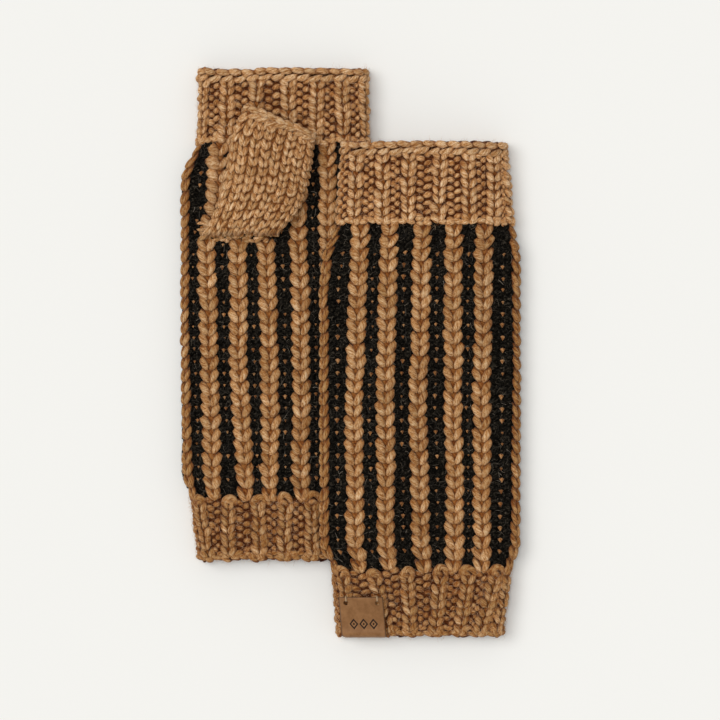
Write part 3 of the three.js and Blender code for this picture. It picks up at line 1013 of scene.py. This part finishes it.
class EvenColumns:
    """Columns spread evenly round a tube, which get narrower as it does."""

    def __init__(self, tube, count, wobble):
        self.tube = tube
        self.count = count
        self.wobble = wobble
        self.phases = rng.uniform(0, 2 * math.pi, PHASES)

    def at(self, k, v):
        phase = self.phases[np.mod(k, self.count).astype(int)]
        return (k + 0.5) / self.count * self.tube.around(v) + self.wobble * np.sin(v / 7.0 + phase)


THUMB_COLUMNS = 17


def make_thumb(side):
    """A stockinette sleeve that bends at its base, and its bound-off edge."""
    tube = SLEEVES[side]
    bodies = ("root", "left_thumb") if side == "left" else ("right_glove", "right_thumb")
    columns = EvenColumns(tube, THUMB_COLUMNS, 0.3)
    yarn = Yarn(tube)
    ground_sheet(yarn, tube, 0.5, tube.length - 2.0, THUMB_GROUND, THUMB_LINING, around=60, tint=0.15)
    k, v = row_heights(-0.8, tube.length - 3.5, THUMB_PITCH, THUMB_COLUMNS, jitter=0.5)
    v = np.maximum(v, 0.6)
    stitch_legs(yarn, columns, k, v, THUMB_LEG, jitter=1.1)
    name = f"{side}_thumb_sleeve"
    piece = finish_yarn(f"{name}_knit", yarn, TAN, None, [name])
    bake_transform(piece)

    edge = Yarn(tube)
    t = np.linspace(0, 1, 8)[None, :]
    around = float(tube.around(tube.length))
    links = int(around / 4.6)
    step = around / links
    for back, slant, wide, level, high, phase in THUMB_ROWS:
        s = ((np.arange(links) + phase) * step + rng.normal(0, 0.25, links))[:, None] + (t - 0.5) * step * 1.45
        vv = tube.length - back + rng.normal(0, 0.35, (links, 1)) + slant * (0.5 - t) * 2
        profile = bell(t, 0.12, 0.12, 0.55)
        h = level + 0.3 * np.sin(math.pi * t) + rng.normal(0, 0.1, (links, 1))
        edge.add(s, vv, h, wide * profile, high * profile)
    ground_sheet(edge, tube, tube.length - 4.0, tube.length - 1.0, THUMB_GROUND, THUMB_LINING, around=60, tint=0.2)
    name = f"{side}_thumb_bind_off_edge"
    finish_yarn(f"{name}_knit", edge, TAN, bodies[1], [name])


for side, glove in GLOVES.items():
    add_halo(f"{side}_finger_cuff_fuzz", TUBES[side], glove["root"], glove["edge"] - 0.5, 2600, glove["body"])
    add_halo(f"{side}_wrist_cuff_fuzz", TUBES[side], glove["hem"] + 0.5, glove["wrist"], 2400, glove["body"])
for side in GLOVES:
    make_hand(side)
    make_cuff(side, "finger")
    make_cuff(side, "wrist")
    make_edge(side, "finger")
    make_edge(side, "wrist")
    make_thumb(side)

# ---- The leather tab and its tacks ----

TAB = {"left": -4.5, "right": 17.0, "reach": 20.0, "inside": 12.0, "thick": 1.5, "hole": 1.15, "inset": 3.0}
TAB_HOLES = (TAB["left"] + TAB["inset"], TAB["right"] - TAB["inset"])
TAB_LEAN = 0.085
HEM = GLOVES["right"]["hem"]
HEM_HALF = 2.0
FOLD_RADIUS = HEM_HALF + 0.5


def on_cuff(x, y, height):
    """A point at that height above the right cuff's upper skin, which curves down into the left fold."""
    tube = TUBES["right"]
    start = tube.fold(y, 0) + RADIUS
    turn = np.arcsin(np.clip((start - x) / RADIUS, 0, 1))
    px = np.maximum(x, start) - (RADIUS + height) * np.sin(turn)
    pz = draped(px, y) + RADIUS + (RADIUS + height) * np.cos(turn)
    return np.stack([px, y + 0 * px, pz], -1)


def leaning(y):
    """How far the tab has shifted in X at y, because it hangs a little askew."""
    return -TAB_LEAN * (y - HEM - 10)


def tab_point(x, path, out):
    """A point of the folded tab: path runs from the front end round the hem, out is the distance from its inner
    face. The hem inside the fold is pressed to HEM_HALF each way."""
    flat = TAB["reach"] - HEM_HALF
    turn = np.clip((path - flat) / FOLD_RADIUS, 0, math.pi)
    after = np.maximum(path - flat - math.pi * FOLD_RADIUS, 0)
    bulge = (0.55 * FOLD_RADIUS + 0.8 * out) * np.sin(turn)
    y = HEM + HEM_HALF + np.maximum(flat - path, 0) - bulge + after
    height = -HEM_HALF + (FOLD_RADIUS + out) * np.cos(turn)
    return on_cuff(x + leaning(y), y, height)


def make_tab():
    """A strip with softly rounded edges, punched while flat and then folded round the hem."""
    length = (TAB["reach"] - HEM_HALF) + math.pi * FOLD_RADIUS + (TAB["inside"] - HEM_HALF)
    thick = TAB["thick"]
    tool = bmesh.new()
    bmesh.ops.create_grid(tool, x_segments=30, y_segments=56, size=0.5)
    for vertex in tool.verts:
        vertex.co.x = TAB["left"] + (vertex.co.x + 0.5) * (TAB["right"] - TAB["left"])
        vertex.co.y = (vertex.co.y + 0.5) * length
    bmesh.ops.solidify(tool, geom=tool.faces[:], thickness=thick)
    mesh = bpy.data.meshes.new("tab_flat")
    tool.to_mesh(mesh)
    tool.free()
    low = min(v.co.z for v in mesh.vertices)
    for vertex in mesh.vertices:
        vertex.co.z -= low
    flat = new_object("right_hem_tab_leather", mesh)
    for x in TAB_HOLES:
        punch = bpy.data.meshes.new("punch")
        tool = bmesh.new()
        bmesh.ops.create_cone(tool, cap_ends=True, segments=24, radius1=TAB["hole"], radius2=TAB["hole"], depth=8)
        tool.to_mesh(punch)
        tool.free()
        cutter = new_object("punch", punch)
        cutter.location = (x, TAB["inset"], 0)
        bpy.context.view_layer.update()
        cut = flat.modifiers.new("cut", "BOOLEAN")
        cut.object = cutter
        cut.operation = "DIFFERENCE"
        cut.solver = "EXACT"
        with bpy.context.temp_override(object=flat, active_object=flat):
            bpy.ops.object.modifier_apply(modifier=cut.name)
        bpy.data.objects.remove(cutter)
    mesh = flat.data
    co = np.array([v.co for v in mesh.vertices])
    x, path, out = co.T
    inset = np.minimum.reduce([x - TAB["left"], TAB["right"] - x, path, length - path])
    soft = np.clip(1 - inset / 0.7, 0, 1) ** 2 * 0.35
    out = np.clip(out, soft, thick - soft)
    points = tab_point(x, path, out)
    for vertex, point in zip(mesh.vertices, points):
        vertex.co = point * MM
    add_attribute(mesh, "flat_place", np.stack([x, path, out], -1))
    # The edge attribute darkens the leather's own cut edges, all round and at the holes, and a wider band along the
    # tab's right side as painted shade.
    holes = [np.hypot(x - hole_x, path - TAB["inset"]) for hole_x in TAB_HOLES]
    rim = np.clip(1.6 - np.minimum(*holes) / TAB["hole"], 0, 1) + np.clip((x - TAB["right"] + 1.2) / 1.2, 0, 1) * 0.6
    add_attribute(mesh, "edge", np.clip(1 - inset / 0.6 + rim, 0, 1))
    for polygon in mesh.polygons:
        polygon.use_smooth = True
    mesh.update()
    mesh.materials.append(LEATHER)
    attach(flat, "right_glove")
    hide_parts("right_hem_tab")


def leather():
    nodes = Nodes("leather")
    place = nodes.attribute("flat_place", "Vector")
    cells = nodes.add("ShaderNodeTexVoronoi", [("Vector", place), ("Scale", 3.2)], feature="DISTANCE_TO_EDGE")
    cloud = nodes.noise(place, 0.35, 4.0, 0.6)
    stops = [(0.35, (0.215, 0.094, 0.030)), (0.65, (0.29, 0.137, 0.050))]
    colour = nodes.ramp(cloud, stops)
    # Darker where the edge attribute is high: the cut edges, and the painted shade along the right side.
    edge = nodes.attribute("edge", "Fac")
    colour = nodes.mix(nodes.math("MULTIPLY", edge, 0.8), colour, (0.05, 0.02, 0.008))
    nodes.set(Base_Color=colour)
    nodes.set(Roughness=0.52, Specular_IOR_Level=0.3)
    pores = nodes.math("MINIMUM", cells.outputs["Distance"], 0.25)
    nodes.bump(nodes.math("MULTIPLY_ADD", cloud, 0.5, pores), 0.25, 0.0002)
    return nodes.material


def plain(name, colour, roughness):
    """A plain finish broken up by a fine noise."""
    nodes = Nodes(name)
    place = nodes.add("ShaderNodeNewGeometry").outputs["Position"]
    share = nodes.noise(place, 1500.0, 3.0, 0.6)
    darker = tuple(0.6 * c for c in colour)
    nodes.set(Base_Color=nodes.mix(share, darker, colour), Roughness=roughness, Specular_IOR_Level=0.2)
    nodes.bump(share, 0.4, 0.0002)
    return nodes.material


LEATHER = leather()
STAMP = plain("stamped_leather", (0.022, 0.011, 0.006), 0.7)
THREAD = plain("waxed_thread", (0.62, 0.43, 0.25), 0.6)


STAMP_CENTRES = (1.4, TAB_MIDDLE, 11.2)
STAMP_PATH = 13.6


def make_stamp():
    """A generic stamped border of three lozenges with a point in each, a little below the middle of the tab."""
    points, faces = [], []
    corners = np.array([(1, 0), (0, 1), (-1, 0), (0, -1), (1, 0)], float)
    steps = 6
    ring = [a + (b - a) * i / steps for a, b in zip(corners, corners[1:]) for i in range(steps)]
    count = len(ring)
    for centre in STAMP_CENTRES:
        for outer, inner in ((2.2, 1.35), (0.55, 0.0)):
            start = len(points)
            for direction in ring:
                for reach in (outer, inner):
                    points.append((centre + direction[0] * reach, STAMP_PATH + direction[1] * reach * 1.25))
            for i in range(count):
                j = (i + 1) % count
                faces.append((start + 2 * i, start + 2 * j, start + 2 * j + 1, start + 2 * i + 1))
    points = np.array(points, float)
    placed = tab_point(points[:, 0], points[:, 1], np.full(len(points), TAB["thick"] + 0.03))
    piece = mesh_piece("right_hem_tab_stamp", placed, np.array(faces), STAMP)
    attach(piece, "right_glove")


class CuffSkin:
    """Lets yarn be laid on the right cuff with s as x."""

    def place(self, s, v, h):
        return on_cuff(s + leaning(v), v, h)


def make_tacks():
    """Two thin plies twisted together, up out of each hole, over the tab's end and down to the knit."""
    t = np.linspace(0, 1, 40)[None, :]
    y = HEM + TAB["reach"] - TAB["inset"] + np.interp(t, [0, 0.25, 0.75, 1], [0.7, 1.0, 3.1, 3.5])
    height = np.interp(t, [0, 0.25, 0.5, 0.75, 1], [0.2, 2.1, 2.35, 2.1, -0.8])
    for name, x in zip(("thumb", "little_finger"), TAB_HOLES):
        yarn = Yarn(CuffSkin())
        for ply in (0, math.pi):
            turn = 9 * t * math.pi + ply
            yarn.add(x + 0.17 * np.cos(turn), y, height + 0.17 * np.sin(turn), 0.2, 0.2, sides=7)
        node = f"right_tab_tack_{name}_side"
        finish_yarn(f"{node}_thread", yarn, THREAD, "right_glove", [node])


make_tab()
make_stamp()
make_tacks()
